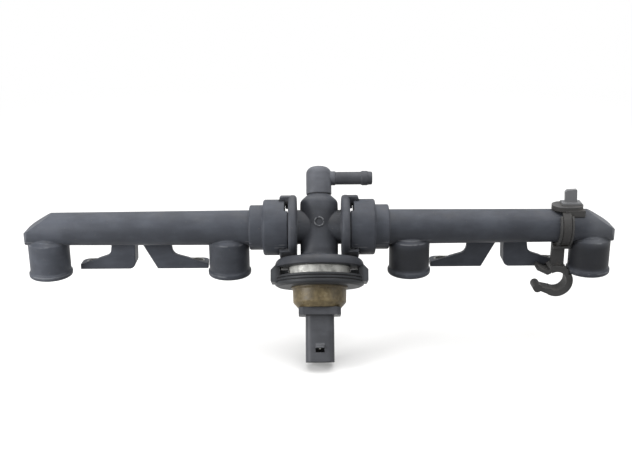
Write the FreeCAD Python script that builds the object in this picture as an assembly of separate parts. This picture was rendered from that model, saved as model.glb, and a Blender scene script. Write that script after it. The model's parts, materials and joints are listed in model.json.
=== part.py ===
import FreeCAD, Part
import math
import os

from FreeCAD import Vector

# Moulded fuel rail for an inline four: two rail halves snapped to a central tee.
# X runs along the rail and Z points up, away from the injectors. The origin is the
# centre of the inner pair of foot holes, on the plane that the feet stand on.

# Rail layout
injector_pitch = 91.0
tee_tilt = 27.2          # the tee's own axis leans back from the cups' axis by this angle
pipe_above_feet = 23.5
foot_hole_behind_pipe = 10.4

# Rail pipe
pipe_d_at_collar = 17.5
pipe_d_at_end = 16.3
pipe_bore_d = 11.6
pipe_wall_at_end = 2.4
end_beyond_cup = 11.7
end_slope_before_cup = 2.7
end_slope = 32.9
end_nose_radius = 3.7
end_nose_drop = 7.5

# Injector cups
cup_d = 20.4
cup_draft_per_side = 0.05
cup_mouth_drop = 24.7
cup_shoulder_drop = 6.7
cup_shoulder_slope = 43.0
cup_shoulder_width = 3.6
cup_shoulder_step = 0.35
cup_lip_d = 21.7
cup_lip_height = 3.0
cup_lip_radius = 1.3
cup_bore_d = 14.4
cup_bore_depth = 13.2
cup_lead_in = 1.1
cup_throat_d = 8.0

# Snap coupling between rail and tee
spigot_d = 17.2
spigot_bore_d = 10.4
spigot_tip_x = 29.6
spigot_clearance = 0.1
ring_d = 32.3
ring_inner_x = 11.1
ring_thickness = 4.2
ring_edge_radius = 1.7
skirt_gap = 0.2
spigot_neck_d = 14.8
window_depth = 1.7
window_sill = 6.0
window_rib_height = 8.4
window_rib_thickness = 1.0
window_rib_depth = 2.6
lower_window_sill = 11.8
collar_d = 28.0
collar_end_x = 27.9
collar_edge_radius = 1.2
neck_collar_d = 22.5
neck_collar_end_x = 34.8
neck_collar_edge_radius = 0.9
latch_sweep = 62.0
latch_d = 32.1
latch_thickness = 1.75
latch_lip = 1.25
latch_root_depth = 2.1
latch_tip_x = 19.7
latch_lip_length = 1.2
latch_clearance = 0.2
gland_x = 22.2
gland_length = 4.2
gland_depth = 1.7
seal_squeeze_room = 0.02
backup_ring_length = 1.5

# Mounting feet: dimensions along X, from the hole towards the pipe bracket
inner_hole_beyond_cup = 17.9
outer_hole_before_cup = 20.2
foot_hole_d = 8.2
foot_tip_beyond_hole = 6.3
foot_depth = 9.6
foot_front_y = 5.4
foot_wall = 2.5
foot_plate_thickness = 2.5
foot_corner_radius = 4.0
foot_front_corner_radius = 2.6
gusset_rise = 5.2
gusset_blend_radius = 4.0
outer_neck_before_hole = 22.6
outer_neck_width = 10.6
outer_neck_corner_radius = 3.2
inner_neck_beyond_hole = 13.9
inner_neck_width = 13.6
inner_neck_toe_run = 5.7
neck_top_z = 1.5
bush_bore_d = 6.4
bush_proud = 0.25

# Tee body
tee_d = 19.3
tee_shoulder_height = 16.5
tee_shoulder_drop = 3.6
tee_shoulder_radius = 3.0
tee_neck_d = 11.2
tee_bore_d = 7.0
elbow_socket_d = 9.4
elbow_socket_depth = 8.4
mould_ring_d = 5.0
mould_ring_height = 0.45
mould_ring_width = 0.55
mould_ring_rise = 1.2

# Hose elbow
elbow_d = 12.8
elbow_top = 30.8
elbow_edge_radius = 3.8
elbow_bore_d = 4.4
elbow_plug_clearance = 0.1
elbow_plug_depth = 8.0
elbow_gland_below_shoulder = 4.9
elbow_gland_length = 2.0
elbow_gland_depth = 1.3
barb_height = 24.9
barb_d = 6.5
barb_bore_d = 3.6
barb_root_d = 7.2
barb_root_x = 8.4
barb_bead_d = 7.4
barb_bead_x = 21.9
barb_bead_length = 2.4
barb_tip_x = 27.0
barb_tip_d = 6.8

# Sensor port on the tee
port_plate_d = 44.2
port_plate_top = 16.1
port_plate_bottom = 20.7
port_plate_edge_radius = 3.4
port_bore_d = 13.4
port_bore_top = 10.2
port_recess_depth = 2.2

# Sensor
case_d = 30.8
case_bottom = 24.5
case_clearance = 0.1
case_stem_d = 13.2
case_gland_height = 14.0
case_gland_length = 2.4
case_gland_depth = 1.5
probe_d = 5.0
probe_tip = 3.0
case_tip_height = 11.0
body_lip_d = 28.0
body_lip_bottom = 31.2
body_d = 26.7
body_bottom = 40.7
body_foot_d = 21.6
body_taper_height = 2.6
socket_spigot_d = 15.0
socket_spigot_length = 3.0
base_width = 20.8
base_depth = 17.6
base_bottom = 44.5
base_corner_chamfer = 1.9
shroud_width = 14.1
shroud_depth = 12.6
shroud_corner_radius = 3.2
shroud_wall = 1.4
shroud_bottom = 67.4
shroud_floor = 50.0
latch_ramp_width = 4.4
latch_ramp_top = 58.2
latch_ramp_bottom = 60.6
latch_ramp_height = 0.9
latch_window_bottom = 62.8
terminal_count = 3
terminal_pitch = 3.2
terminal_width = 1.5
terminal_thickness = 0.6
terminal_root = 42.0
terminal_tip = 61.0

# Retainer that snaps under the port plate and carries the sensor
retainer_top = 25.1
retainer_bottom = 30.3
retainer_clearance = 0.15
retainer_collar_wall = 2.2
retainer_groove_depth = 0.7
retainer_groove_pitch = 1.5
retainer_lip_step = 1.6
arm_inset = 2.7
arm_overhang = 2.0
arm_half_depth = 7.0
arm_bottom = 28.2
arm_top = 19.4
arm_bevel = 2.8
arm_cover_gap = 0.2
arm_shoulder_height = 2.8
arm_shoulder_half_depth = 5.0
arm_tongue_thickness = 1.4
arm_tongue_half_depth = 5.0
arm_tongue_height = 2.2
arm_barb = 0.5

# Clip strapped to the right outer end
strap_before_cup = 14.0
strap_width = 4.2
strap_thickness = 0.9
strap_head_length = 15.6
strap_head_depth = 12.0
strap_head_thickness = 2.2
strap_head_gap = 0.3
strap_head_shift = 1.4
strap_tail_width = 5.8
strap_tail_thickness = 2.4
strap_tail_top = 18.6
strap_tail_shift = 3.1
strap_tail_lean = 3.0
strap_tail_chamfer = 1.0
strap_yoke_before = 0.7
strap_yoke_beyond = 9.1
strap_yoke_depth = 12.4
strap_box_length = 9.6
strap_box_depth = 6.4
strap_box_height = 1.4
saddle_width = 6.6
saddle_thickness = 0.8
saddle_border = 1.0
saddle_border_height = 1.3
saddle_start = 48.0
saddle_sweep = 158.0
saddle_clearance = 0.05
leg_width = 6.4
leg_thickness = 3.0
leg_before_strap = 1.9
hook_before_strap = 2.2
hook_drop = 28.5
hook_inner_r = 5.0
hook_wall = 3.2
hook_cup_clearance = 0.4
hook_depth = 8.6
hook_open_top = 122.0
hook_open_bottom = 238.0
hook_lip_length = 7.0
hook_lip_bead_d = 4.4
hook_lip_half_thickness = 0.9
hook_dip_run = 1.4
hook_dip_drop = 1.1
hook_flare_run = 4.9
hook_flare_rise = 2.6
leg_shelf_depth = 6.0
leg_shelf_thickness = 1.4

# Directions and derived places
X = Vector(1, 0, 0)
Y = Vector(0, 1, 0)
Z = Vector(0, 0, 1)
CENTRE = Vector(0, 0, 0)
TO_FEET = Vector(0, -foot_hole_behind_pipe, pipe_above_feet)
skirt_x = ring_inner_x + ring_thickness + skirt_gap
window_x = skirt_x + window_depth
socket_d = spigot_d + 2 * spigot_clearance
socket_end_x = spigot_tip_x + 0.5
inner_cup_x = injector_pitch / 2
outer_cup_x = injector_pitch * 1.5
cup_xs = (inner_cup_x, outer_cup_x)
end_x = outer_cup_x + end_beyond_cup
elbow_gland_height = tee_shoulder_height - elbow_gland_below_shoulder
end_slope_start_x = outer_cup_x - end_slope_before_cup
inner_hole_x = inner_cup_x + inner_hole_beyond_cup
outer_hole_x = outer_cup_x - outer_hole_before_cup
inner_neck_inner_x = inner_hole_x + inner_neck_beyond_hole
outer_neck_inner_x = outer_hole_x - outer_neck_before_hole
strap_x = outer_cup_x - strap_before_cup
leg_x = strap_x - leg_before_strap
hook_x = strap_x - hook_before_strap
latch_under_d = latch_d - 2 * latch_thickness
foot_back_y = foot_front_y + foot_depth
arm_inner_x = port_plate_d / 2 - arm_inset
arm_outer_x = port_plate_d / 2 + arm_overhang


def on_xz(u, v):
    return Vector(u, 0, v)


def on_xy(u, v):
    return Vector(u, v, 0)


def on_yz(u, v):
    return Vector(0, u, v)


def rounded_face(corners, place):
    """Face with straight sides; a corner's third number is its radius."""
    points = [Vector(c[0], c[1], 0) for c in corners]
    starts, arcs, ends = [], [], []
    count = len(points)
    for i, corner in enumerate(corners):
        here = points[i]
        radius = corner[2] if len(corner) > 2 else 0
        if radius == 0:
            starts.append(here)
            arcs.append(None)
            ends.append(here)
            continue
        back = (points[i - 1] - here).normalize()
        ahead = (points[(i + 1) % count] - here).normalize()
        half = back.getAngle(ahead) / 2
        reach = radius / math.tan(half)
        middle = here + (back + ahead).normalize() * (radius / math.sin(half) - radius)
        starts.append(here + back * reach)
        arcs.append(middle)
        ends.append(here + ahead * reach)
    edges = []
    for i in range(count):
        if arcs[i] is not None:
            three = [place(p.x, p.y) for p in (starts[i], arcs[i], ends[i])]
            edges.append(Part.Arc(*three).toShape())
        a = place(ends[i].x, ends[i].y)
        b = place(starts[(i + 1) % count].x, starts[(i + 1) % count].y)
        if a.distanceToPoint(b) > 1e-6:
            edges.append(Part.LineSegment(a, b).toShape())
    return Part.Face(Part.Wire(edges))


def turned_on_x(corners):
    """Solid turned about the pipe axis from (x, radius) corners."""
    return rounded_face(corners, on_xz).revolve(CENTRE, X, 360)


def turned_on_z(corners, x=0):
    """Solid turned about an upright axis from (radius, height) corners."""
    solid = rounded_face(corners, on_xz).revolve(CENTRE, Z, 360)
    solid.translate(Vector(x, 0, 0))
    return solid


def block(x0, x1, y0, y1, z0, z1):
    return Part.makeBox(x1 - x0, y1 - y0, z1 - z0, Vector(x0, y0, z0))


def slab(corners, y0, y1):
    """Plate of an XZ outline between two depths."""
    plate = rounded_face(corners, on_xz).extrude(Y * (y1 - y0))
    plate.translate(Y * y0)
    return plate


def lean(shape):
    """Turn a shape built on the tee's axis to the tee's lean about the pipe."""
    return shape.rotated(CENTRE, X, -tee_tilt)


def mirrored(shape):
    return shape.mirror(CENTRE, X)


def end_slope_z(x, inset=0):
    """Height of the sloping end face at x, moved inwards by a wall."""
    angle = math.radians(end_slope)
    top = pipe_d_at_end / 2
    return top - math.tan(angle) * (x - end_slope_start_x) - inset / math.cos(angle)


def end_mask(inset, bottom, nose_radius):
    """Side view of the pipe's closed end: a slope, a blunt nose, then underneath."""
    far_x = end_x - inset
    high = pipe_d_at_collar
    slope_high_x = end_slope_start_x - (high - end_slope_z(end_slope_start_x, inset)) / math.tan(
        math.radians(end_slope))
    corners = [
        (skirt_x - 1, -high),
        (skirt_x - 1, high),
        (slope_high_x, high),
        (far_x, end_slope_z(far_x, inset), nose_radius),
        (far_x, -bottom, nose_radius),
        (outer_cup_x, -bottom),
        (outer_cup_x, -high),
    ]
    return slab(corners, -pipe_d_at_collar, pipe_d_at_collar)


def end_plan():
    """Plan view of the closed end: half round about the outer cup."""
    x = outer_cup_x
    half = end_x - x
    straight = block(0, x, -half, half, -half, half)
    return straight.fuse(Part.makeCylinder(half, 2 * half, Vector(x, 0, -half), Z))


def pipe_outside():
    collar_r = collar_d / 2
    neck_r = neck_collar_d / 2
    pipe = turned_on_x([
        (neck_collar_end_x - 1, 0),
        (neck_collar_end_x - 1, pipe_d_at_collar / 2),
        (end_x + 2, pipe_d_at_end / 2),
        (end_x + 2, 0),
    ])
    pipe = pipe.common(end_mask(0, end_nose_drop, end_nose_radius))
    pipe = pipe.common(end_plan())
    collars = turned_on_x([
        (skirt_x, 0),
        (skirt_x, collar_r, 0.4),
        (collar_end_x, collar_r, collar_edge_radius),
        (collar_end_x, neck_r, 0.5),
        (neck_collar_end_x, neck_r, neck_collar_edge_radius),
        (neck_collar_end_x, 0),
    ])
    return pipe, collars


def cup_outside(x):
    """Injector cup: sloping shoulder with a fine step, drafted wall, rolled lip."""
    wall_r = cup_d / 2
    foot_r = wall_r - cup_draft_per_side
    lip_r = cup_lip_d / 2
    lip_top = -cup_mouth_drop + cup_lip_height
    root_r = wall_r - cup_shoulder_width
    rise = (wall_r - root_r) * math.tan(math.radians(cup_shoulder_slope))
    step_r = (wall_r + root_r) / 2
    step_z = -cup_shoulder_drop + rise / 2
    return turned_on_z([
        (0, 0),
        (root_r, 0),
        (root_r, -cup_shoulder_drop + rise),
        (step_r, step_z + cup_shoulder_step),
        (step_r, step_z),
        (wall_r, -cup_shoulder_drop, 0.3),
        (foot_r, lip_top + 0.4, 0.5),
        (lip_r, lip_top - 0.5, 0.6),
        (lip_r, -cup_mouth_drop, cup_lip_radius),
        (0, -cup_mouth_drop),
    ], x)


def cup_inside(x):
    bore_r = cup_bore_d / 2
    throat_r = cup_throat_d / 2
    bore_top = -cup_mouth_drop + cup_bore_depth
    return turned_on_z([
        (0, 0.5),
        (throat_r, 0.5),
        (throat_r, bore_top),
        (bore_r, bore_top),
        (bore_r, -cup_mouth_drop + cup_lead_in),
        (bore_r + cup_lead_in, -cup_mouth_drop),
        (bore_r + cup_lead_in, -cup_mouth_drop - 1),
        (0, -cup_mouth_drop - 1),
    ], x)


def rail_inside():
    """Coupling socket and pipe bore, ending parallel to the sloping end."""
    socket_r = socket_d / 2
    bore_r = pipe_bore_d / 2
    bore = turned_on_x([
        (skirt_x - 1, 0),
        (skirt_x - 1, socket_r + 0.8),
        (skirt_x, socket_r + 0.8),
        (skirt_x + 0.8, socket_r),
        (socket_end_x, socket_r),
        (socket_end_x, bore_r),
        (end_x, bore_r),
        (end_x, 0),
    ])
    return bore.common(end_mask(pipe_wall_at_end, pipe_bore_d / 2 + 1, 1.0))


def sector_ring(corners, sweep, middle):
    """Part of a ring about the pipe axis, centred on an angle from straight up."""
    piece = rounded_face(corners, on_xz).revolve(CENTRE, X, sweep)
    return piece.rotated(CENTRE, X, middle - sweep / 2)


def coupling_windows():
    """See-through windows beside the ring, a rib across the upper ones, and the latches' pockets."""
    reach = collar_d / 2 + 1
    x0, x1 = skirt_x - 1, window_x
    rib_low = window_rib_height - window_rib_thickness / 2
    rib_high = rib_low + window_rib_thickness
    rib_back = -collar_d / 2 + window_rib_depth
    cuts = [
        block(x0, x1, -reach, reach, window_sill, rib_low),
        block(x0, x1, -reach, reach, rib_high, reach),
        block(x0, x1, rib_back, reach, rib_low - 0.1, rib_high + 0.1),
        block(x0, x1, -reach, reach, -reach, -lower_window_sill),
    ]
    root_r = latch_under_d / 2 - latch_root_depth - latch_clearance
    root_room = [(x0, root_r), (x0, reach), (x1, reach), (x1, root_r)]
    pocket_r = latch_under_d / 2 - latch_lip - latch_clearance
    pocket_x1 = latch_tip_x + latch_clearance
    pocket_x0 = pocket_x1 - latch_lip_length - 2 * latch_clearance
    pocket = [(pocket_x0, pocket_r), (pocket_x0, reach), (pocket_x1, reach), (pocket_x1, pocket_r)]
    for middle in (0, 180):
        cuts.append(sector_ring(pocket, latch_sweep + 3, middle))
        cuts.append(sector_ring(root_room, latch_sweep + 3, middle))
    return [lean(cut) for cut in cuts]


def lug_plate(x_root, x_tip, bottom):
    """Flat plate of a foot, its two free corners rounded."""
    side = 1 if x_tip > x_root else -1
    outline = [
        (x_root, foot_front_y),
        (x_tip, foot_front_y, foot_front_corner_radius),
        (x_tip, foot_back_y, foot_corner_radius),
        (x_root, foot_back_y),
    ]
    if side < 0:
        outline.reverse()
    plate = rounded_face(outline, on_xy).extrude(Z * foot_plate_thickness)
    plate.translate(Z * bottom)
    return plate


def outer_foot():
    """Foot whose neck drops straight and whose plate points to the rail's end."""
    bottom = -pipe_above_feet
    plate_top = bottom + foot_plate_thickness
    tip_x = outer_hole_x + foot_tip_beyond_hole
    x0, x1 = outer_neck_inner_x, outer_neck_inner_x + outer_neck_width
    heel = outer_neck_corner_radius
    root_x = x1 + foot_wall
    outline = [
        (x0, neck_top_z),
        (x0 + 0.8, bottom, heel),
        (tip_x, bottom),
        (tip_x, plate_top),
        (root_x, plate_top + gusset_rise, gusset_blend_radius),
        (x1, neck_top_z),
    ]
    blend = [
        (x1 - foot_wall, neck_top_z),
        (x1 - foot_wall, bottom),
        (root_x + gusset_blend_radius, bottom),
        (root_x + gusset_blend_radius, plate_top),
        (x1 + 0.4, plate_top, gusset_blend_radius - 1),
        (x1, neck_top_z),
    ]
    heel_wall = [
        (x0, neck_top_z),
        (x0 + 0.8, bottom, heel),
        (x1, bottom),
        (x1, plate_top),
        (x0 + foot_wall + 0.8, plate_top, 1.5),
        (x0 + foot_wall, neck_top_z),
    ]
    return foot_solid(outline, (blend, heel_wall), x1, tip_x, outer_hole_x)


def inner_foot():
    """Foot whose neck slants to a toe and whose plate points to the tee."""
    bottom = -pipe_above_feet
    plate_top = bottom + foot_plate_thickness
    tip_x = inner_hole_x - foot_tip_beyond_hole
    x0, x1 = inner_neck_inner_x, inner_neck_inner_x + inner_neck_width
    toe_x = x0 + inner_neck_toe_run
    slant_top_x = x1 + (x1 - toe_x) * (neck_top_z + pipe_d_at_collar / 2) / (
        pipe_above_feet - pipe_d_at_collar / 2)
    root_x = x0 - foot_wall
    wall_run = foot_wall * 1.15
    outline = [
        (x0, neck_top_z),
        (root_x, plate_top + gusset_rise, gusset_blend_radius),
        (tip_x, plate_top),
        (tip_x, bottom),
        (toe_x, bottom, 0.8),
        (slant_top_x, neck_top_z),
    ]
    blend = [
        (x0, neck_top_z),
        (x0 - 0.4, plate_top, gusset_blend_radius - 1),
        (root_x - gusset_blend_radius, plate_top),
        (root_x - gusset_blend_radius, bottom),
        (x0 + foot_wall, bottom),
        (x0 + foot_wall, neck_top_z),
    ]
    toe_wall = [
        (slant_top_x - wall_run, neck_top_z),
        (toe_x - wall_run, plate_top, 0.5),
        (x0 - 2, plate_top),
        (x0 - 2, bottom),
        (toe_x, bottom, 0.8),
        (slant_top_x, neck_top_z),
    ]
    return foot_solid(outline, (blend, toe_wall), x0, tip_x, inner_hole_x)


def foot_solid(front_outline, wall_outlines, neck_x, tip_x, hole_x):
    bottom = -pipe_above_feet
    solid = slab(front_outline, foot_front_y, foot_front_y + foot_wall)
    for outline in wall_outlines:
        solid = solid.fuse(slab(outline, foot_front_y, foot_back_y))
    solid = solid.fuse(lug_plate(neck_x, tip_x, bottom))
    cover_low = neck_top_z - foot_wall
    xs = [v.Point.x for v in solid.Vertexes if v.Point.z > cover_low]
    cover = block(min(xs), max(xs), foot_front_y, foot_back_y, cover_low, neck_top_z)
    solid = solid.fuse(cover)
    drill = Part.makeCylinder(foot_hole_d / 2, foot_plate_thickness * 3,
                              Vector(hole_x, foot_hole_behind_pipe, bottom - 1), Z)
    return solid.cut(drill)


def right_rail():
    pipe, collars = pipe_outside()
    solid = pipe
    for x in cup_xs:
        solid = solid.fuse(cup_outside(x))
    solid = solid.fuse(outer_foot()).fuse(inner_foot()).fuse(collars)
    solid = solid.cut(rail_inside())
    for x in cup_xs:
        solid = solid.cut(cup_inside(x))
    for cut in coupling_windows():
        solid = solid.cut(cut)
    return solid.removeSplitter()


def spigots():
    """Spigots to both sides with the latch rings, their glands and the side bore."""
    spigot_r = spigot_d / 2
    ring_r = ring_d / 2
    ring_out_x = ring_inner_x + ring_thickness
    neck_r = spigot_neck_d / 2
    gland_r = spigot_r - gland_depth
    arm_r = latch_d / 2
    under_r = latch_under_d / 2
    lip_r = under_r - latch_lip
    lip_x = latch_tip_x - latch_lip_length
    root_x = window_x - latch_clearance
    half = turned_on_x([
        (0, 0),
        (0, spigot_r),
        (ring_inner_x, spigot_r, 0.6),
        (ring_inner_x, ring_r, ring_edge_radius),
        (ring_out_x, ring_r, ring_edge_radius),
        (ring_out_x, neck_r),
        (window_x, neck_r),
        (window_x, spigot_r),
        (gland_x, spigot_r),
        (gland_x, gland_r),
        (gland_x + gland_length, gland_r),
        (gland_x + gland_length, spigot_r),
        (spigot_tip_x, spigot_r, 0.8),
        (spigot_tip_x, 0),
    ])
    arm = [
        (ring_out_x - 1, under_r - latch_root_depth),
        (ring_out_x - 1, arm_r),
        (latch_tip_x, arm_r, 1.1),
        (latch_tip_x, lip_r + 0.5),
        (latch_tip_x - 0.4, lip_r),
        (lip_x, lip_r),
        (lip_x, under_r),
        (root_x, under_r),
        (root_x, under_r - latch_root_depth, 0.4),
    ]
    for middle in (0, 180):
        half = half.fuse(sector_ring(arm, latch_sweep, middle))
    return half.fuse(mirrored(half))


def tee_body():
    tee_r = tee_d / 2
    plate_r = port_plate_d / 2
    shoulder_low = tee_shoulder_height - tee_shoulder_drop
    barrel = turned_on_z([
        (0, tee_shoulder_height),
        (tee_neck_d / 2, tee_shoulder_height),
        (tee_r - 0.2, shoulder_low, tee_shoulder_radius),
        (tee_r, 0),
        (tee_r - 0.3, -port_plate_top, 2.4),
        (plate_r, -port_plate_top, port_plate_edge_radius),
        (plate_r, -port_plate_bottom, 0.4),
        (0, -port_plate_bottom),
    ])
    solid = barrel.fuse(spigots())
    mark_y = -tee_r
    mark_r = mould_ring_d / 2
    mark = Part.makeCylinder(mark_r, tee_r, Vector(0, mark_y - mould_ring_height, mould_ring_rise), Y)
    mark_hole = Part.makeCylinder(mark_r - mould_ring_width, mould_ring_height + 0.4,
                                  Vector(0, mark_y - mould_ring_height, mould_ring_rise), Y)
    solid = solid.fuse(mark.cut(mark_hole))
    bore_r = tee_bore_d / 2
    socket_r = elbow_socket_d / 2
    port_r = port_bore_d / 2
    recess_r = case_d / 2 + case_clearance
    upright_bore = turned_on_z([
        (0, tee_shoulder_height + 1),
        (socket_r, tee_shoulder_height + 1),
        (socket_r, tee_shoulder_height - elbow_socket_depth),
        (bore_r, tee_shoulder_height - elbow_socket_depth),
        (bore_r, -port_bore_top),
        (port_r, -port_bore_top),
        (port_r, -port_plate_bottom + port_recess_depth),
        (recess_r, -port_plate_bottom + port_recess_depth),
        (recess_r, -port_plate_bottom - 1),
        (0, -port_plate_bottom - 1),
    ])
    side_bore = Part.makeCylinder(spigot_bore_d / 2, 2 * spigot_tip_x + 2,
                                  Vector(-spigot_tip_x - 1, 0, 0), X)
    solid = solid.cut(upright_bore).cut(side_bore)
    gap = retainer_clearance
    barb = arm_barb + gap
    for side in (1, -1):
        x0 = arm_inner_x - gap
        x1 = arm_inner_x + arm_tongue_thickness + gap
        y = arm_tongue_half_depth + gap
        top = -port_plate_bottom + arm_tongue_height + gap
        pocket = block(x0, x1, -y, y, -port_plate_bottom - 1, top)
        pocket = pocket.fuse(block(x0 - barb, x1, -y, y, top - 1.2, top))
        if side < 0:
            pocket = mirrored(pocket)
        solid = solid.cut(pocket)
    return lean(solid.removeSplitter())


def hose_elbow():
    plug_r = elbow_socket_d / 2 - elbow_plug_clearance
    gland_r = plug_r - elbow_gland_depth
    low = tee_shoulder_height - elbow_plug_depth
    gland_top = elbow_gland_height + elbow_gland_length / 2
    gland_low = elbow_gland_height - elbow_gland_length / 2
    upright = turned_on_z([
        (0, elbow_top),
        (elbow_d / 2, elbow_top, elbow_edge_radius),
        (elbow_d / 2, tee_shoulder_height, 0.5),
        (plug_r, tee_shoulder_height),
        (plug_r, gland_top),
        (gland_r, gland_top),
        (gland_r, gland_low),
        (plug_r, gland_low),
        (plug_r, low, 0.4),
        (0, low),
    ])
    bead_end = barb_bead_x + barb_bead_length
    barb = turned_on_x([
        (0, 0),
        (0, barb_root_d / 2),
        (barb_root_x, barb_root_d / 2, 0.3),
        (barb_root_x, barb_d / 2),
        (barb_bead_x - 0.8, barb_d / 2),
        (barb_bead_x, barb_bead_d / 2, 0.4),
        (bead_end, barb_bead_d / 2, 0.4),
        (bead_end + 0.6, barb_tip_d / 2),
        (barb_tip_x, barb_tip_d / 2 - 0.15, 0.5),
        (barb_tip_x, 0),
    ])
    barb.translate(Z * barb_height)
    solid = upright.fuse(barb)
    bore_r = elbow_bore_d / 2
    drop = Part.makeCylinder(bore_r, barb_height - low + 1, Vector(0, 0, low - 1), Z)
    knee = Part.makeSphere(bore_r, Vector(0, 0, barb_height))
    outlet = Part.makeCylinder(barb_bore_d / 2, barb_tip_x + 1, Vector(0, 0, barb_height), X)
    solid = solid.cut(drop.fuse(knee).fuse(outlet))
    return lean(solid.removeSplitter())


def seal_ring(inner_r, outer_r, axis, middle):
    """Round-section ring that fills a gland between two radii."""
    section_r = (outer_r - inner_r) / 2 - seal_squeeze_room
    return Part.makeTorus((outer_r + inner_r) / 2, section_r, middle, axis)


def coupling_seal():
    gland_r = spigot_d / 2 - gland_depth
    section_r = (socket_d / 2 - gland_r) / 2
    return seal_ring(gland_r, socket_d / 2, X, X * (gland_x + gland_length - section_r - 0.05))


def coupling_backup_ring():
    gland_r = spigot_d / 2 - gland_depth
    outer = Part.makeCylinder(socket_d / 2 - seal_squeeze_room, backup_ring_length,
                              X * (gland_x + 0.05), X)
    inner = Part.makeCylinder(gland_r + seal_squeeze_room, backup_ring_length,
                              X * (gland_x + 0.05), X)
    return outer.cut(inner)


def elbow_seal():
    plug_r = elbow_socket_d / 2 - elbow_plug_clearance
    ring = seal_ring(plug_r - elbow_gland_depth, elbow_socket_d / 2, Z, Z * elbow_gland_height)
    return lean(ring)


def sensor_case():
    """Metal flange and stem of the sensor, with the stem's seal gland."""
    stem_r = case_stem_d / 2
    gland_r = stem_r - case_gland_depth
    flange_top = -port_plate_bottom + port_recess_depth - case_clearance
    gland_top = -case_gland_height + case_gland_length / 2
    gland_low = -case_gland_height - case_gland_length / 2
    solid = turned_on_z([
        (probe_d / 2, -case_tip_height),
        (stem_r, -case_tip_height, 0.6),
        (stem_r, gland_top),
        (gland_r, gland_top),
        (gland_r, gland_low),
        (stem_r, gland_low),
        (stem_r, flange_top),
        (case_d / 2, flange_top, 0.5),
        (case_d / 2, -case_bottom, 0.5),
        (probe_d / 2, -case_bottom),
    ])
    return lean(solid)


def sensor_probe():
    """Sensing element pressed through the stem, its tip in the fuel."""
    r = probe_d / 2
    tip_r = r - 0.6
    solid = turned_on_z([
        (0, -probe_tip),
        (tip_r, -probe_tip, tip_r * 0.8),
        (tip_r, -case_tip_height + 0.8),
        (r, -case_tip_height),
        (r, -case_bottom),
        (0, -case_bottom),
    ])
    return lean(solid)


def sensor_seal():
    gland_r = case_stem_d / 2 - case_gland_depth
    return lean(seal_ring(gland_r, port_bore_d / 2, Z, Z * -case_gland_height))


def sensor_body():
    lip_r = body_lip_d / 2
    body_r = body_d / 2
    foot_r = body_foot_d / 2
    solid = turned_on_z([
        (0, -case_bottom),
        (lip_r, -case_bottom),
        (lip_r, -body_lip_bottom, 0.5),
        (body_r, -body_lip_bottom - 0.3, 0.3),
        (body_r - 0.2, -body_bottom + body_taper_height, 1.6),
        (foot_r, -body_bottom),
        (0, -body_bottom),
    ])
    pocket = Part.makeCylinder(socket_spigot_d / 2, socket_spigot_length,
                               Vector(0, 0, -body_bottom), Z)
    return lean(solid.cut(pocket))


def rounded_block(width, depth, z_low, z_high, radius):
    half_w, half_d = width / 2, depth / 2
    outline = [(-half_w, -half_d, radius), (half_w, -half_d, radius),
               (half_w, half_d, radius), (-half_w, half_d, radius)]
    solid = rounded_face(outline, on_xy).extrude(Z * (z_high - z_low))
    solid.translate(Z * z_low)
    return solid


def terminal_places():
    first = -(terminal_count - 1) / 2
    return [(first + i) * terminal_pitch for i in range(terminal_count)]


def terminal(x):
    """Flat blade with a tapered tip."""
    half = terminal_width / 2
    outline = [
        (x - half, -terminal_root),
        (x - half, -terminal_tip + 1.2),
        (x - half / 2, -terminal_tip),
        (x + half / 2, -terminal_tip),
        (x + half, -terminal_tip + 1.2),
        (x + half, -terminal_root),
    ]
    return slab(outline, -terminal_thickness / 2, terminal_thickness / 2)


def sensor_connector():
    """Square base with cut corners, and the plug shroud with its latch ramp."""
    half_w, half_d = base_width / 2, base_depth / 2
    cut = base_corner_chamfer
    outline = [
        (-half_w + cut, -half_d), (half_w - cut, -half_d), (half_w, -half_d + cut),
        (half_w, half_d - cut), (half_w - cut, half_d), (-half_w + cut, half_d),
        (-half_w, half_d - cut), (-half_w, -half_d + cut),
    ]
    solid = rounded_face(outline, on_xy).extrude(Z * (base_bottom - body_bottom))
    solid.translate(Z * -base_bottom)
    spigot_r = socket_spigot_d / 2 - 0.1
    solid = solid.fuse(Part.makeCylinder(spigot_r, socket_spigot_length,
                                         Vector(0, 0, -body_bottom - 0.2), Z))
    solid = solid.fuse(rounded_block(shroud_width, shroud_depth, -shroud_bottom,
                                     -base_bottom + 0.5, shroud_corner_radius))
    front = -shroud_depth / 2
    ramp_face = rounded_face([
        (front + 0.5, -latch_ramp_top),
        (front - latch_ramp_height, -latch_ramp_bottom + 0.5),
        (front - latch_ramp_height, -latch_ramp_bottom),
        (front + 0.5, -latch_ramp_bottom),
    ], on_yz)
    ramp = ramp_face.extrude(X * latch_ramp_width)
    ramp.translate(X * (-latch_ramp_width / 2))
    solid = solid.fuse(ramp)
    cavity = rounded_block(shroud_width - 2 * shroud_wall, shroud_depth - 2 * shroud_wall,
                           -shroud_bottom - 1, -shroud_floor, shroud_corner_radius - shroud_wall)
    window = block(-latch_ramp_width / 2, latch_ramp_width / 2, front - 1, front + shroud_wall + 0.2,
                   -latch_window_bottom, -latch_ramp_bottom)
    solid = solid.cut(cavity).cut(window)
    for x in terminal_places():
        solid = solid.cut(terminal(x))
    return lean(solid.removeSplitter())


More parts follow.
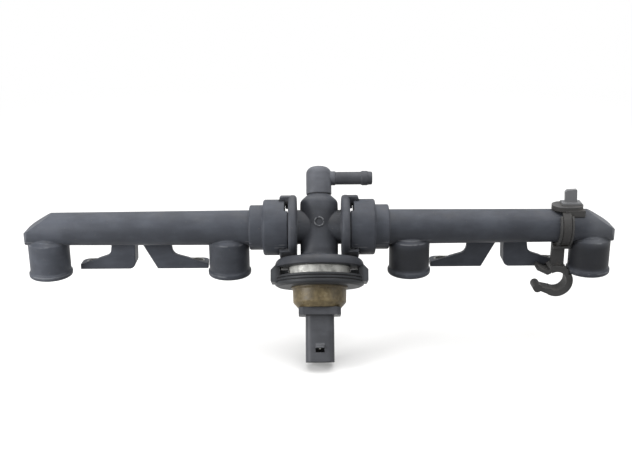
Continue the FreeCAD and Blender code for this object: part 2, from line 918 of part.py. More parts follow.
def sensor_retainer():
    """Ridged ring that carries the sensor, with two arms that snap into the plate."""
    bore_r = body_lip_d / 2 + retainer_clearance
    collar_r = bore_r + retainer_collar_wall
    ring_r = port_plate_d / 2
    lip_r = ring_r - retainer_lip_step
    corners = [
        (bore_r, -case_bottom),
        (collar_r, -case_bottom, 0.4),
        (collar_r, -retainer_top),
        (ring_r, -retainer_top, 0.4),
    ]
    z = -retainer_top - 1.0
    for _ in range(2):
        corners += [
            (ring_r, z),
            (ring_r - retainer_groove_depth, z - 0.35),
            (ring_r, z - 0.7),
        ]
        z -= retainer_groove_pitch
    corners += [
        (ring_r, -retainer_bottom + 0.9, 0.3),
        (lip_r, -retainer_bottom, 0.3),
        (bore_r, -retainer_bottom),
    ]
    solid = turned_on_z(corners)
    seat = -port_plate_bottom - 0.1
    for side in (1, -1):
        arm = slab([
            (arm_inner_x, -arm_bottom),
            (arm_inner_x, -arm_top),
            (arm_outer_x - arm_bevel, -arm_top),
            (arm_outer_x, -arm_top - arm_bevel, 0.6),
            (arm_outer_x, -arm_bottom, 0.6),
        ], -arm_half_depth, arm_half_depth)
        arm = arm.cut(Part.makeCylinder(ring_r + arm_cover_gap, arm_top, Vector(0, 0, seat), Z))
        shoulder = block(case_d / 2 + retainer_clearance, arm_inner_x + 0.2, -arm_shoulder_half_depth,
                         arm_shoulder_half_depth, -retainer_bottom + 1, -retainer_top + arm_shoulder_height)
        arm = arm.fuse(shoulder)
        top = -port_plate_bottom + arm_tongue_height
        tongue = slab([
            (arm_inner_x, seat - 1),
            (arm_inner_x, top - 0.9),
            (arm_inner_x - arm_barb, top - 0.9),
            (arm_inner_x + 0.2, top),
            (arm_inner_x + arm_tongue_thickness, top),
            (arm_inner_x + arm_tongue_thickness, seat - 1),
        ], -arm_tongue_half_depth, arm_tongue_half_depth)
        pair = arm.fuse(tongue)
        solid = solid.fuse(mirrored(pair) if side < 0 else pair)
    return lean(solid.removeSplitter())


def foot_bush(hole_x):
    """Steel sleeve that takes the bolt load through a foot."""
    bottom = -pipe_above_feet
    height = foot_plate_thickness + bush_proud
    base = Vector(hole_x, foot_hole_behind_pipe, bottom)
    outer = Part.makeCylinder(foot_hole_d / 2, height, base, Z)
    return outer.cut(Part.makeCylinder(bush_bore_d / 2, height, base, Z))


def local_pipe_r(x):
    """Pipe radius at x along its draft."""
    start = neck_collar_end_x - 1
    share = (x - start) / (end_x + 2 - start)
    return (pipe_d_at_collar + (pipe_d_at_end - pipe_d_at_collar) * share) / 2


def band_ring(inner_r, thickness, width):
    """Band round the pipe at the strap's place."""
    start = X * (strap_x - width / 2)
    ring = Part.makeCylinder(inner_r + thickness, width, start, X)
    return ring.cut(Part.makeCylinder(inner_r, width, start, X))


def hook_clip():
    """Saddle under the strap, a leg below it and a sprung hook for a hose."""
    inner_r = local_pipe_r(strap_x - saddle_width / 2) + saddle_clearance
    floor_r = inner_r + saddle_thickness
    border_r = floor_r + saddle_border_height
    x0 = strap_x - saddle_width / 2
    x1 = strap_x + saddle_width / 2
    channel = [
        (x0, inner_r), (x0, border_r, 0.3), (x0 + saddle_border, border_r, 0.3),
        (x0 + saddle_border, floor_r), (x1 - saddle_border, floor_r),
        (x1 - saddle_border, border_r, 0.3), (x1, border_r, 0.3), (x1, inner_r),
    ]
    saddle = sector_ring(channel, saddle_sweep, saddle_start + saddle_sweep / 2)
    leg_top = -floor_r + 0.3
    hook_z = -hook_drop
    leg = block(leg_x - leg_width / 2, leg_x + leg_width / 2, -leg_thickness / 2, leg_thickness / 2,
                hook_z + hook_inner_r + 0.5, leg_top)
    shelf = block(leg_x - leg_width / 2, strap_x + saddle_width / 2, -leg_shelf_depth + leg_thickness / 2,
                  leg_thickness / 2, leg_top - leg_shelf_thickness - 0.8, leg_top - 0.8)
    leg = leg.fuse(shelf)
    leg = leg.cut(band_ring(floor_r, strap_thickness + 2 * saddle_clearance, strap_width))
    outer_r = hook_inner_r + hook_wall
    middle_r = hook_inner_r + hook_wall / 2

    def ray(angle, radius):
        turn = math.radians(angle)
        return (hook_x + radius * math.cos(turn), hook_z + radius * math.sin(turn))

    def at(pair):
        return Vector(pair[0], 0, pair[1])

    start_in, start_out = ray(hook_open_top, hook_inner_r), ray(hook_open_top, outer_r)
    end_in, end_out = ray(hook_open_bottom, hook_inner_r), ray(hook_open_bottom, outer_r)
    wire = Part.Wire([
        Part.Arc(at(start_in), at(ray(0, hook_inner_r)), at(end_in)).toShape(),
        Part.LineSegment(at(end_in), at(end_out)).toShape(),
        Part.Arc(at(end_out), at(ray(0, outer_r)), at(start_out)).toShape(),
        Part.LineSegment(at(start_out), at(start_in)).toShape(),
    ])
    hook = Part.Face(wire).extrude(Y * hook_depth)
    hook.translate(Y * (-hook_depth / 2))
    tip_x, tip_z = ray(hook_open_bottom, middle_r)
    bead_x = tip_x - hook_lip_length * 0.85
    bead_z = tip_z + hook_lip_length * 0.26
    lower_lip = slab([
        (tip_x + 0.4, tip_z - hook_wall * 0.55), (tip_x + 0.9, tip_z + hook_wall * 0.38),
        (bead_x, bead_z + hook_lip_half_thickness), (bead_x, bead_z - hook_lip_half_thickness),
    ], -hook_depth / 2, hook_depth / 2)
    bead = Part.makeCylinder(hook_lip_bead_d / 2, hook_depth,
                             Vector(bead_x, -hook_depth / 2, bead_z), Y)
    top_x, top_z = ray(hook_open_top, middle_r)
    dip_x = top_x - hook_dip_run
    dip_z = top_z - hook_dip_drop
    flare_x = dip_x - hook_flare_run
    flare_z = dip_z + hook_flare_rise
    upper_lip = slab([
        (top_x + 0.8, top_z + 1.3), (top_x + 0.5, top_z - 1.2), (dip_x, dip_z - 1.1, 1.0),
        (flare_x - 0.6, flare_z - 1.0), (flare_x + 0.4, flare_z + 0.6), (dip_x, dip_z + 1.1, 0.8),
    ], -hook_depth / 2, hook_depth / 2)
    solid = saddle.fuse(leg).fuse(hook).fuse(lower_lip).fuse(bead).fuse(upper_lip)
    cup_room = Part.makeCylinder(cup_lip_d / 2 + hook_cup_clearance, cup_mouth_drop,
                                 Vector(outer_cup_x, 0, -cup_mouth_drop - hook_cup_clearance), Z)
    return solid.cut(cup_room).removeSplitter()


def clip_strap():
    """Strap round the pipe in the saddle's channel, its oval head and cut tail."""
    pipe_r = local_pipe_r(strap_x - saddle_width / 2) + saddle_clearance
    ring = band_ring(pipe_r + saddle_thickness + saddle_clearance, strap_thickness,
                     strap_width - 2 * saddle_clearance)
    head_low = pipe_r + strap_head_gap
    half_l, half_d = strap_head_length / 2, strap_head_depth / 2
    outline = [(-half_l, -half_d, half_d - 0.05), (half_l, -half_d, half_d - 0.05),
               (half_l, half_d, half_d - 0.05), (-half_l, half_d, half_d - 0.05)]
    head = rounded_face(outline, on_xy).extrude(Z * strap_head_thickness)
    head.translate(Vector(strap_x + strap_head_shift, 0, head_low))
    box = block(-strap_box_length / 2, strap_box_length / 2, -strap_box_depth / 2, strap_box_depth / 2,
                0, strap_box_height)
    box.translate(Vector(strap_x + strap_tail_shift, 0, head_low + strap_head_thickness))
    yoke = block(strap_x - strap_yoke_before, strap_x + strap_yoke_beyond, -strap_yoke_depth / 2,
                 strap_yoke_depth / 2, 0, head_low + 0.5)
    yoke = yoke.cut(Part.makeCylinder(pipe_r + strap_head_gap, 2 * end_x, CENTRE, X))
    half_w = strap_tail_width / 2
    tail = slab([
        (-half_w, head_low + 0.5), (-half_w, strap_tail_top - strap_tail_chamfer),
        (-half_w + strap_tail_chamfer, strap_tail_top), (half_w, strap_tail_top, 0.4),
        (half_w, head_low + 0.5),
    ], -strap_tail_thickness / 2, strap_tail_thickness / 2)
    tail = tail.rotated(Vector(0, 0, head_low), Y, -strap_tail_lean)
    tail.translate(X * (strap_x + strap_tail_shift))
    return ring.fuse(head).fuse(box).fuse(yoke).fuse(tail).removeSplitter()


def export(shape, name):
    placed = shape.copy()
    placed.translate(TO_FEET)
    placed.exportStep("parts/" + name + ".step")
    print(name, len(placed.Solids), "solid", round(placed.Volume / 1000, 3), "cm3", placed.isValid())


def both_sides(shape, name):
    export(shape, "right_" + name)
    export(mirrored(shape), "left_" + name)


os.makedirs("parts", exist_ok=True)
both_sides(right_rail(), "rail")
both_sides(coupling_seal(), "coupling_seal")
both_sides(coupling_backup_ring(), "coupling_backup_ring")
both_sides(foot_bush(inner_hole_x), "inner_foot_bush")
both_sides(foot_bush(outer_hole_x), "outer_foot_bush")
export(tee_body(), "tee_body")
export(hose_elbow(), "hose_elbow")
export(elbow_seal(), "elbow_seal")
export(sensor_case(), "sensor_case")
export(sensor_probe(), "sensor_probe")
export(sensor_seal(), "sensor_seal")
export(sensor_body(), "sensor_body")
export(sensor_connector(), "sensor_connector")
export(sensor_retainer(), "sensor_retainer")
for number, place_x in enumerate(terminal_places(), 1):
    export(lean(terminal(place_x)), "sensor_terminal_" + str(number))
export(hook_clip(), "hook_clip")
export(clip_strap(), "clip_strap")
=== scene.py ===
import json
import math

import bpy
from mathutils import Matrix, Vector


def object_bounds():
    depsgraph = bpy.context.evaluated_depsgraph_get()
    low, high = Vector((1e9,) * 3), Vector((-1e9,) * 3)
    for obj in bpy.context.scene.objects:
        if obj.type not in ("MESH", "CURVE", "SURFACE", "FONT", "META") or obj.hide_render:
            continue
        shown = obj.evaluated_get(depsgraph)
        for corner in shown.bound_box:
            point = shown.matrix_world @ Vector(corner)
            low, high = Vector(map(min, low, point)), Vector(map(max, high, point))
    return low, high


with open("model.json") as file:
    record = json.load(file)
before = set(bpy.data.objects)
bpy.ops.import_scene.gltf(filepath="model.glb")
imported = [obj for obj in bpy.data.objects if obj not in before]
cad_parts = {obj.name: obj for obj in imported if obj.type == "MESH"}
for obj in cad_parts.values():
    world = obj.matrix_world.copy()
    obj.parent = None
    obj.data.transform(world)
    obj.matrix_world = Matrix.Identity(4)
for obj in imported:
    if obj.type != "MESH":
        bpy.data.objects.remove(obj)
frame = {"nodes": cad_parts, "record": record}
cad_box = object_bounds()

MM = 0.001
PIPE = Vector((0, -10.4, 23.5)) * MM
TEE_TILT = math.radians(27.2)

# Places on the part, in millimetres. A pair is a soft step, from its first value to its second.
# Mould mark crest: rubbing and a painted highlight
MARK_RISE = 1.2
MARK_RADIUS = 2.2
MARK_CREST = (0.22, 0.55)
# Painted highlight on the plug's latch ramp
RAMP_RISE = -59.5
RAMP_HALF_WIDTH = (1.9, 2.4)
RAMP_HALF_LENGTH = (0.9, 1.5)
STRAP_TAIL = (34.0, 35.5)
BETWEEN_CUPS = 91.0
CUP_SIDE = (33.5, 35.5)
CUP_LIP = (1.0, 4.0)
CUP_SHOULDER = (13.0, 19.0)
# Painted highlight arcs on the cups' shoulders and lips
CUP_ARCS = (18.5, 16.8, 0.9)
ARC_HALF_WIDTH = (0.15, 0.5)
LEFT_INNER_CUP = (-110.0, -80.0)
RIGHT_CUPS = (0.0, 30.0)
PIPE_ABOVE_CUPS = (16.0, 18.0)
PIPE_ENDS = (120.0, 135.0)
# Painted light on the front of the right end
RIGHT_END = (131.0, 138.0)
RIGHT_END_LOW = (14.0, 18.0)
BARB_ROOT = (6.0, 10.0)
RIDGES_HALF_WIDTH = (20.5, 22.5)
WAIST_HALF_WIDTH = (9.0, 13.0)
WAIST_LOW = (-3.0, 2.0)
WAIST_HIGH = (6.0, 12.0)
PORT_PLATE_TOP = (-12.5, -10.5)
AMBER_TOP = (-34.5, -31.5)

# Shares of the colour that is laid over the plastic, from 0 to 1
RUB_AND_HIGHLIGHT = 0.55
WEAR_AND_HIGHLIGHT = 0.5
RAMP_HIGHLIGHT = 0.55
ARC_HIGHLIGHT = 0.6
END_HIGHLIGHT = 0.32
# Painted shade on the cups and on the pipe's lower side
LEFT_CUP_SHADE = 0.24
RIGHT_CUPS_SHADE = 0.52
PIPE_UNDERSIDE_SHADE = 0.18
# Painted shade on the barb, the retainer's ring, the tee's middle and its port plate
BARB_SHADE = 0.5
RIDGES_SHADE = 0.58
WAIST_SHADE = 0.35
PORT_PLATE_SHADE = 0.25

# Tones against the plastic's own
DARK_CLOUD = 0.84
LIGHT_CLOUD = 1.18
WORN_AND_HIGHLIT_TONE = 2.1

# Colours laid over the plastic
DUST = (0.24, 0.205, 0.155)
# Lighter grey for painted highlights, rubbed crests and the strap's paler tail
RUBBED_AND_HIGHLIT = (0.205, 0.21, 0.22)
SHADE = (0.010, 0.010, 0.011)

# Moulded plastic: reliefs and reaches in millimetres
GRAIN_DEPTH = 0.045
CORNER_REACH = 3.0
WORN_AND_HIGHLIT_WIDTH = 0.5
NYLON_SHINE = 0.14


# Shader maths
class Wire:
    """A shader socket: arithmetic on it adds the Math nodes."""

    def __init__(self, finish, socket):
        self.finish = finish
        self.socket = socket

    def maths(self, operation, *values):
        return self.finish.add("ShaderNodeMath", {"operation": operation}, dict(enumerate(values)))

    def __add__(self, other):
        return self.maths("ADD", self, other)

    def __sub__(self, other):
        return self.maths("SUBTRACT", self, other)

    def __rsub__(self, other):
        return self.maths("SUBTRACT", other, self)

    def __mul__(self, other):
        return self.maths("MULTIPLY", self, other)

    def __pow__(self, other):
        return self.maths("POWER", self, other)

    def __abs__(self):
        return self.maths("ABSOLUTE", self)

    __radd__ = __add__
    __rmul__ = __mul__


class Finish:
    """A material with its shader tree and the patterns that the part's finishes share."""

    def __init__(self, name):
        self.material = bpy.data.materials.new(name)
        self.material.use_nodes = True
        self.tree = self.material.node_tree
        self.shader = next(n for n in self.tree.nodes if n.type == "BSDF_PRINCIPLED")
        self.place = self.add("ShaderNodeTexCoord", {}, {}, "Object")

    def add(self, kind, settings, sockets, output=0):
        """Adds a node: its settings first, then the values or links of its sockets."""
        node = self.tree.nodes.new(kind)
        for name, value in settings.items():
            if name == "stops":
                self.set_stops(node.color_ramp, value)
            else:
                setattr(node, name, value)
        for name, value in sockets.items():
            self.feed(node.inputs[name], value)
        return Wire(self, node.outputs[output])

    def set_stops(self, ramp, stops):
        while len(ramp.elements) < len(stops):
            ramp.elements.new(1.0)
        for element, (position, colour) in zip(ramp.elements, stops):
            element.position = position
            element.color = (*colour, 1)

    def feed(self, socket, value):
        if isinstance(value, Wire):
            self.tree.links.new(value.socket, socket)
        elif socket.type == "RGBA":
            socket.default_value = (*value, 1)
        else:
            socket.default_value = value

    def noise(self, per_mm, detail=3.0, stretch=(1, 1, 1), shift=0.0):
        """Soft noise from 0 to 1, with about per_mm features on a millimetre."""
        where = self.add("ShaderNodeMapping", {}, {
            "Vector": self.place, "Scale": stretch,
            "Location": (shift, shift * 0.7, shift * 1.3)})
        return self.add("ShaderNodeTexNoise", {}, {
            "Vector": where, "Scale": per_mm / MM, "Detail": detail, "Roughness": 0.55})

    def smooth(self, value, low, high):
        """0 below low and 1 above high, with a soft step between."""
        return self.add("ShaderNodeMapRange", {"interpolation_type": "SMOOTHSTEP"},
                        {"Value": value, "From Min": low, "From Max": high})

    def beyond(self, value, step_mm):
        """1 where a length is beyond a soft step that is given in millimetres."""
        low, high = step_mm
        return self.smooth(value, low * MM, high * MM)

    def within(self, value, step_mm):
        """1 where a length is short of a soft step that is given in millimetres."""
        return 1 - self.beyond(value, step_mm)

    def blend(self, amount, a, b):
        return self.add("ShaderNodeMix", {"data_type": "RGBA"},
                        {"Factor": amount, "A": a, "B": b}, "Result")

    def axis(self, name):
        return self.add("ShaderNodeSeparateXYZ", {}, {"Vector": self.place}, name)

    def tee_rise(self):
        """Height along the tee's leaning axis, from the pipe's centre line."""
        back, up = self.axis("Y") - PIPE.y, self.axis("Z") - PIPE.z
        return back * math.sin(TEE_TILT) + up * math.cos(TEE_TILT)

    def facing(self, name):
        """One part of the surface's direction, such as Z for how far it looks up."""
        normal = self.add("ShaderNodeNewGeometry", {}, {}, "Normal")
        return self.add("ShaderNodeSeparateXYZ", {}, {"Vector": normal}, name)

    def to_front(self, low, high):
        """1 on surfaces that look to the front, which is the photographed side."""
        return self.smooth(0 - self.facing("Y"), low, high)

    def hollows(self, reach_mm):
        """1 in tight corners and 0 on open surfaces."""
        light = self.add("ShaderNodeAmbientOcclusion", {"samples": 6, "only_local": False},
                         {"Distance": reach_mm * MM}, "AO")
        return 1 - light

    def soft_edges(self, radius_mm):
        return self.add("ShaderNodeBevel", {"samples": 4}, {"Radius": radius_mm * MM})

    def worn_and_highlit_edges(self, radius_mm):
        """1 along sharp edges, where the rounded and the flat surface directions part: the mask for
        edge wear and painted edge highlights.
        """
        flat = self.add("ShaderNodeNewGeometry", {}, {}, "Normal")
        agreement = self.add("ShaderNodeVectorMath", {"operation": "DOT_PRODUCT"},
                             {0: self.soft_edges(radius_mm), 1: flat}, "Value")
        return self.smooth(1 - agreement, 0.02, 0.16)

    def on_cups(self):
        """1 along the rail where a cup stands, and 0 between the cups."""
        return self.beyond(abs(abs(self.axis("X")) - BETWEEN_CUPS * MM), CUP_SIDE)

    def rubbed_and_highlit_ring(self):
        """Lighter crest of the round mould mark on the tee's front: rubbing and a painted
        highlight.
        """
        away = (self.axis("X") ** 2 + (self.tee_rise() - MARK_RISE * MM) ** 2) ** 0.5
        crest = self.within(abs(away - MARK_RADIUS * MM), MARK_CREST)
        worn_and_highlit = self.smooth(self.noise(0.7, 2, shift=17), 0.36, 0.58)
        return crest * worn_and_highlit * self.to_front(0.35, 0.8)

    def highlit_ramp(self):
        """Painted highlight on the latch ramp of the plug housing."""
        across = self.within(abs(self.axis("X")), RAMP_HALF_WIDTH)
        along = self.within(abs(self.tee_rise() - RAMP_RISE * MM), RAMP_HALF_LENGTH)
        return across * along * self.to_front(0.2, 0.7) * RAMP_HIGHLIGHT

    def pale_tail(self):
        """The strap's cut tail, paler than the rest of the strap."""
        return self.beyond(self.axis("Z"), STRAP_TAIL)

    def highlit_cup_arcs_and_end(self):
        """Painted highlights: bright arcs on the cups' shoulders and lips, and painted light on the
        front of the right end.
        """
        height = self.axis("Z")
        arcs = sum(self.within(abs(height - z * MM), ARC_HALF_WIDTH) for z in CUP_ARCS)
        arcs = arcs * self.on_cups() * self.smooth(self.noise(0.13, 2, shift=21), 0.50, 0.62)
        end = self.beyond(self.axis("X"), RIGHT_END) * self.beyond(height, RIGHT_END_LOW)
        return (arcs * self.to_front(0.1, 0.5) * ARC_HIGHLIGHT
                + end * self.to_front(-0.3, 0.3) * END_HIGHLIGHT)

    def painted_shade_rail(self):
        """Painted shade on the pipe's lower side and on the cups, most on the right-hand ones."""
        along, height = self.axis("X"), self.axis("Z")
        low_side = 1 - self.smooth(self.facing("Z"), -0.1, 0.5)
        pipe = low_side * self.beyond(height, PIPE_ABOVE_CUPS) * self.within(abs(along), PIPE_ENDS)
        wall = self.on_cups() * self.beyond(height, CUP_LIP) * self.within(height, CUP_SHOULDER)
        cups = (self.beyond(along, LEFT_INNER_CUP) * LEFT_CUP_SHADE
                + self.beyond(along, RIGHT_CUPS) * RIGHT_CUPS_SHADE)
        return wall * cups + pipe * PIPE_UNDERSIDE_SHADE

    def shaded_barb(self):
        """Painted shade on the hose barb."""
        return self.beyond(self.axis("X"), BARB_ROOT) * BARB_SHADE

    def shaded_ridges(self):
        """Painted shade on the retainer's ring between its two snap arms."""
        return self.within(abs(self.axis("X")), RIDGES_HALF_WIDTH) * RIDGES_SHADE

    def shaded_waist(self):
        """Painted shade on the tee's middle and on its port plate."""
        rise = self.tee_rise()
        waist = self.beyond(rise, WAIST_LOW) * self.within(rise, WAIST_HIGH)
        waist = waist * self.within(abs(self.axis("X")), WAIST_HALF_WIDTH)
        return waist * WAIST_SHADE + self.within(rise, PORT_PLATE_TOP) * PORT_PLATE_SHADE

    def finish(self, colour, roughness, relief, depth_mm, edge_mm=0.0, **plain):
        """Links what varies and sets plain numbers on the shader itself."""
        bump = {"Height": relief, "Distance": depth_mm * MM, "Strength": 1.0}
        if edge_mm:
            bump["Normal"] = self.soft_edges(edge_mm)
        sockets = {"Base Color": colour, "Roughness": roughness,
                   "Normal": self.add("ShaderNodeBump", {}, bump)}
        sockets.update({name.replace("_", " "): value for name, value in plain.items()})
        for name, value in sockets.items():
            self.feed(self.shader.inputs[name], value)
        return self.material


def scaled(tone, factor):
    return tuple(channel * factor for channel in tone)


# Finishes of the part
def moulded_plastic(name, tone, dust=0.5, base_rough=0.45, seed=0.0, edge_mm=0.6,
                    rub_and_highlight=None, shade=None):
    """Dark glass-filled nylon: fine grain, flow clouds, worn edges with painted edge highlights,
    dust in the corners, and the painted shade and lighter marks that are passed in.
    """
    f = Finish(name)
    cloud = f.noise(0.055, 4, shift=seed)
    flow = f.noise(0.22, 3, stretch=(0.35, 1, 1), shift=seed + 2)
    grit = f.noise(2.6, 2, shift=seed + 5)
    pores = f.noise(6.5, 2)
    clouds = f.smooth(cloud * 0.6 + flow * 0.4, 0.38, 0.62)
    colour = f.blend(clouds, scaled(tone, DARK_CLOUD), scaled(tone, LIGHT_CLOUD))

    corner = f.smooth(f.hollows(CORNER_REACH), 0.28, 0.95)
    film = f.smooth(f.noise(0.12, 5, shift=seed + 9), 0.46, 0.74)
    corner_dust = corner * (f.smooth(flow, 0.35, 0.6) * 0.30) * dust
    top_dust = f.smooth(f.facing("Z"), 0.35, 1.0) * film * (0.10 * dust)
    specks = f.smooth(f.noise(1.15, 1, shift=seed + 14), 0.735, 0.765) * (0.22 * dust)
    dusty = corner_dust + top_dust
    colour = f.blend(dusty + specks, colour, DUST)

    # Lighter convex edges: edge wear and painted edge highlights
    patches = f.smooth(flow * 0.5 + film * 0.5, 0.12, 0.55)
    worn_and_highlit = f.worn_and_highlit_edges(WORN_AND_HIGHLIT_WIDTH) * (1 - corner) * patches
    colour = f.blend(worn_and_highlit * WEAR_AND_HIGHLIGHT, colour, scaled(tone, WORN_AND_HIGHLIT_TONE))
    # Painted shade: darker where the part gets less light
    if shade:
        colour = f.blend(shade(f), colour, SHADE)
    # Lighter marks: painted highlights, rubbed crests and the strap's paler tail
    if rub_and_highlight:
        colour = f.blend(rub_and_highlight(f) * RUB_AND_HIGHLIGHT, colour, RUBBED_AND_HIGHLIT)

    rough = base_rough + flow * 0.10 + dusty * 0.5 - f.smooth(cloud, 0.55, 0.7) * 0.05
    relief = grit * 0.5 + pores * 0.3 + specks * 1.5
    return f.finish(colour, rough, relief, GRAIN_DEPTH, edge_mm=edge_mm,
                    Specular_IOR_Level=NYLON_SHINE)


def amber_plastic():
    """Honey-brown resin, mottled by heat, with a few pale scuffs, and painted shade in its hollows
    and at its top under the retainer ring.
    """
    f = Finish("amber_plastic")
    cloud = f.noise(0.16, 5, shift=3)
    mottle = f.noise(0.55, 4, shift=8)
    scuff = f.smooth(f.noise(0.9, 2, stretch=(1, 1, 0.35), shift=4), 0.62, 0.72)
    colour = f.add("ShaderNodeValToRGB", {"stops": [
        (0.30, (0.050, 0.037, 0.016)), (0.46, (0.098, 0.074, 0.036)),
        (0.58, (0.160, 0.124, 0.064)), (0.74, (0.245, 0.196, 0.112))]},
        {"Fac": cloud * 0.6 + mottle * 0.4})
    colour = f.blend(scuff * 0.25, colour, (0.34, 0.29, 0.20))
    # Painted shade: darker in the hollows and at the top, under the retainer ring
    corner = f.smooth(f.hollows(3.5), 0.35, 0.95)
    dark_top = f.beyond(f.tee_rise(), AMBER_TOP)
    colour = f.blend(corner * 0.55 + dark_top * 0.4, colour, (0.040, 0.030, 0.018))
    rough = 0.38 + mottle * 0.2 + scuff * 0.15
    relief = mottle + scuff * 0.6
    return f.finish(colour, rough, relief, 0.05, edge_mm=0.3, Specular_IOR_Level=0.3)


def plated_steel(name, tone, rough, metal):
    """Plated steel, dulled and spotted, with fine turning marks."""
    f = Finish(name)
    stain = f.noise(0.35, 5, shift=6)
    spots = f.smooth(f.noise(1.1, 3, shift=2), 0.60, 0.70)
    lines = f.noise(1.2, 2, stretch=(0.2, 1, 3.5))
    colour = f.blend(f.smooth(stain, 0.40, 0.66), tone, scaled(tone, 0.62))
    colour = f.blend(spots * 0.65, colour, (0.20, 0.18, 0.13))
    surface = rough + stain * 0.22 + spots * 0.25
    relief = lines * 0.5 + spots * 0.5
    return f.finish(colour, surface, relief, 0.03, edge_mm=0.2, Metallic=metal * (1 - spots * 0.75))


def plain_metal(name, tone, rough):
    """Bright metal with soft stains and fine lines."""
    f = Finish(name)
    stain = f.noise(0.5, 4)
    lines = f.noise(2.0, 2, stretch=(1, 1, 4))
    colour = f.blend(f.smooth(stain, 0.4, 0.7), tone, scaled(tone, 0.75))
    return f.finish(colour, rough + stain * 0.15, lines, 0.02, edge_mm=0.1, Metallic=0.95)


def seal_rubber():
    """Black rubber with a faint bloom."""
    f = Finish("seal_rubber")
    bloom = f.noise(0.6, 4)
    colour = f.blend(f.smooth(bloom, 0.45, 0.75), (0.018, 0.018, 0.02), (0.05, 0.05, 0.052))
    return f.finish(colour, 0.55 + bloom * 0.2, f.noise(3.0, 2), 0.02)


FINISHES = {
    "rail_plastic": moulded_plastic(
        "rail_plastic", (0.045, 0.049, 0.059), dust=0.55, edge_mm=0.9,
        rub_and_highlight=Finish.highlit_cup_arcs_and_end, shade=Finish.painted_shade_rail),
    "tee_plastic": moulded_plastic(
        "tee_plastic", (0.047, 0.050, 0.058), dust=0.8, seed=3.0,
        rub_and_highlight=Finish.rubbed_and_highlit_ring, shade=Finish.shaded_waist),
    # Painted shade darkens the retainer's ring between its snap arms
    "retainer_plastic": moulded_plastic(
        "retainer_plastic", (0.049, 0.052, 0.057), dust=0.9, seed=7.0, edge_mm=0.35,
        shade=Finish.shaded_ridges),
    "plug_plastic": moulded_plastic(
        "plug_plastic", (0.054, 0.056, 0.062), base_rough=0.38, seed=11.0,
        rub_and_highlight=Finish.highlit_ramp),
    "clip_plastic": moulded_plastic(
        "clip_plastic", (0.047, 0.0465, 0.0465), dust=1.0, base_rough=0.5, seed=5.0),
    "backup_plastic": moulded_plastic(
        "backup_plastic", (0.62, 0.60, 0.55), dust=0.2, seed=1.0),
    "amber_plastic": amber_plastic(),
    "zinc_steel": plated_steel("zinc_steel", (0.52, 0.52, 0.49), rough=0.42, metal=0.35),
    "bush_steel": plated_steel("bush_steel", (0.16, 0.16, 0.155), rough=0.5, metal=0.5),
    "probe_brass": plain_metal("probe_brass", (0.62, 0.46, 0.22), rough=0.3),
    "terminal_metal": plain_metal("terminal_metal", (0.70, 0.70, 0.66), rough=0.25),
    "seal_rubber": seal_rubber(),
}

# Nodes that look different from the rest of their slot
OWN_FINISHES = {
    # The elbow is a lighter copy of the tee's plastic, painted light for its lit front, with
    # painted shade on its barb
    "hose_elbow": moulded_plastic(
        "elbow_plastic_lit", (0.086, 0.090, 0.102), dust=0.6, seed=4.0, shade=Finish.shaded_barb),
    "clip_strap": moulded_plastic(
        "strap_plastic", (0.045, 0.044, 0.0435), dust=1.0, base_rough=0.5, seed=6.0,
        edge_mm=0.3, rub_and_highlight=Finish.pale_tail),
}

for part in frame["record"]["subparts"]:
    node, slot = part["node"], part["material_slot"]
    solid = frame["nodes"][node]
    solid.data.materials.clear()
    solid.data.materials.append(OWN_FINISHES.get(node, FINISHES[slot]))


# Floor and light
FLOOR_GAP = 0.0004
FLOOR_SIDES = (-3, 3)
FLOOR_DEPTH = (-3, 5)
FLOOR_GLOW = 0.21
FLOOR_BOUNCE = (0.17, 0.17, 0.17)
FLOOR_NEAR = 0.22
FLOOR_FAR = 0.85
WORLD_STRENGTH = 0.12
WHITE = (1, 1, 1)
SEEN_RAYS = ("Is Camera Ray", "Is Glossy Ray", "Is Transmission Ray")


def studio_floor():
    """Pale floor under the part: shaded paper near it and white further off, in every view and
    reflection, and plain grey for the light that it sends back."""
    low = cad_box[0].z - FLOOR_GAP
    (left, right), (front, back) = FLOOR_SIDES, FLOOR_DEPTH
    mesh = bpy.data.meshes.new("studio_floor")
    corners = [(left, front, low), (right, front, low), (right, back, low), (left, back, low)]
    mesh.from_pydata(corners, [], [(0, 1, 2, 3)])
    floor = bpy.data.objects.new("studio_floor", mesh)
    bpy.context.collection.objects.link(floor)

    f = Finish("studio_floor")
    paper = f.blend(f.noise(0.01, 2), (0.56, 0.56, 0.56), (0.60, 0.595, 0.585))
    f.feed(f.shader.inputs["Base Color"], paper)
    f.feed(f.shader.inputs["Roughness"], 0.9)
    glow = f.add("ShaderNodeEmission", {}, {"Color": WHITE, "Strength": FLOOR_GLOW})
    lit_paper = Wire(f, f.shader.outputs["BSDF"])
    near = f.add("ShaderNodeAddShader", {}, {0: lit_paper, 1: glow})
    white = f.add("ShaderNodeEmission", {}, {"Color": WHITE, "Strength": 1.0})
    away = f.add("ShaderNodeVectorMath", {"operation": "LENGTH"}, {0: f.place}, "Value")
    seen = f.add("ShaderNodeMixShader", {},
                 {0: f.smooth(away, FLOOR_NEAR, FLOOR_FAR), 1: near, 2: white})
    plain = f.add("ShaderNodeBsdfDiffuse", {}, {"Color": FLOOR_BOUNCE})
    is_seen = sum(f.add("ShaderNodeLightPath", {}, {}, ray) for ray in SEEN_RAYS)
    shown = f.add("ShaderNodeMixShader", {}, {0: is_seen, 1: plain, 2: seen})
    out = next(n for n in f.tree.nodes if n.type == "OUTPUT_MATERIAL")
    f.feed(out.inputs["Surface"], shown)
    mesh.materials.append(f.material)


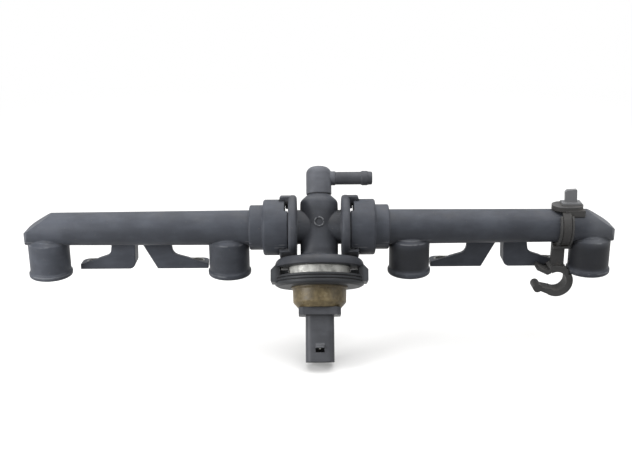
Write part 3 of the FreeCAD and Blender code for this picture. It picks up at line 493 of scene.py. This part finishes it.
def studio_world():
    """World that lights the part evenly, and is white to the camera and in reflections."""
    world = bpy.data.worlds.new("studio")
    world.use_nodes = True
    tree = world.node_tree
    tree.nodes.clear()
    rays = tree.nodes.new("ShaderNodeLightPath")
    is_seen = None
    for ray in SEEN_RAYS:
        either = tree.nodes.new("ShaderNodeMath")
        either.operation = "MAXIMUM"
        tree.links.new(rays.outputs[ray], either.inputs[0])
        if is_seen:
            tree.links.new(is_seen, either.inputs[1])
        is_seen = either.outputs[0]
    light = tree.nodes.new("ShaderNodeBackground")
    light.inputs["Strength"].default_value = WORLD_STRENGTH
    white = tree.nodes.new("ShaderNodeBackground")
    white.inputs["Strength"].default_value = 1.0
    for node in (light, white):
        node.inputs["Color"].default_value = (*WHITE, 1)
    mix = tree.nodes.new("ShaderNodeMixShader")
    out = tree.nodes.new("ShaderNodeOutputWorld")
    tree.links.new(is_seen, mix.inputs[0])
    tree.links.new(light.outputs[0], mix.inputs[1])
    tree.links.new(white.outputs[0], mix.inputs[2])
    tree.links.new(mix.outputs[0], out.inputs["Surface"])
    bpy.context.scene.world = world


def softbox(name, place, size, power):
    """Rectangular lamp that looks at the middle of the part."""
    lamp = bpy.data.lights.new(name, "AREA")
    lamp.shape = "RECTANGLE"
    lamp.size, lamp.size_y = size
    lamp.energy = power
    holder = bpy.data.objects.new(name, lamp)
    holder.location = place
    holder.rotation_euler = (PIPE - Vector(place)).to_track_quat("-Z", "Y").to_euler()
    holder.visible_camera = False
    bpy.context.collection.objects.link(holder)


# Camera
CAMERA_RISE = 18.5
CAMERA_ROLL = 0.43
CAMERA_FAR = 502.0
AIM_RIGHT = -1.6
AIM_UP = -5.0
FOCAL_PX = 1000.0
PHOTO_WIDTH_PX = 632
SENSOR_WIDTH = 36


def photo_camera():
    """Camera at the photograph's viewing angle: 18.5 degrees above the level, slightly rolled."""
    elevation = math.radians(CAMERA_RISE)
    roll = math.radians(CAMERA_ROLL)
    back = Vector((0, -math.cos(elevation), math.sin(elevation)))
    right = Vector((1, 0, 0))
    up = back.cross(right)
    aim = PIPE + right * (AIM_RIGHT * MM) + up * (AIM_UP * MM)
    rolled_right = right * math.cos(roll) - up * math.sin(roll)
    rolled_up = up * math.cos(roll) + right * math.sin(roll)
    data = bpy.data.cameras.new("camera")
    data.sensor_width = SENSOR_WIDTH
    data.lens = SENSOR_WIDTH * FOCAL_PX / PHOTO_WIDTH_PX
    data.clip_start = 0.02
    data.clip_end = 20
    camera = bpy.data.objects.new("camera", data)
    turn = Matrix((rolled_right, rolled_up, back)).transposed().to_4x4()
    camera.matrix_world = Matrix.Translation(aim + back * (CAMERA_FAR * MM)) @ turn
    bpy.context.collection.objects.link(camera)
    bpy.context.scene.camera = camera


studio_world()
softbox("roof", (0.05, 0.02, 0.90), (1.5, 1.1), 17.0)
softbox("left_front", (-0.27, -0.17, 0.09), (0.12, 0.10), 0.88)
softbox("right_front", (0.30, -0.17, 0.10), (0.14, 0.10), 0.18)
studio_floor()
photo_camera()
bpy.context.scene.view_settings.view_transform = "Standard"
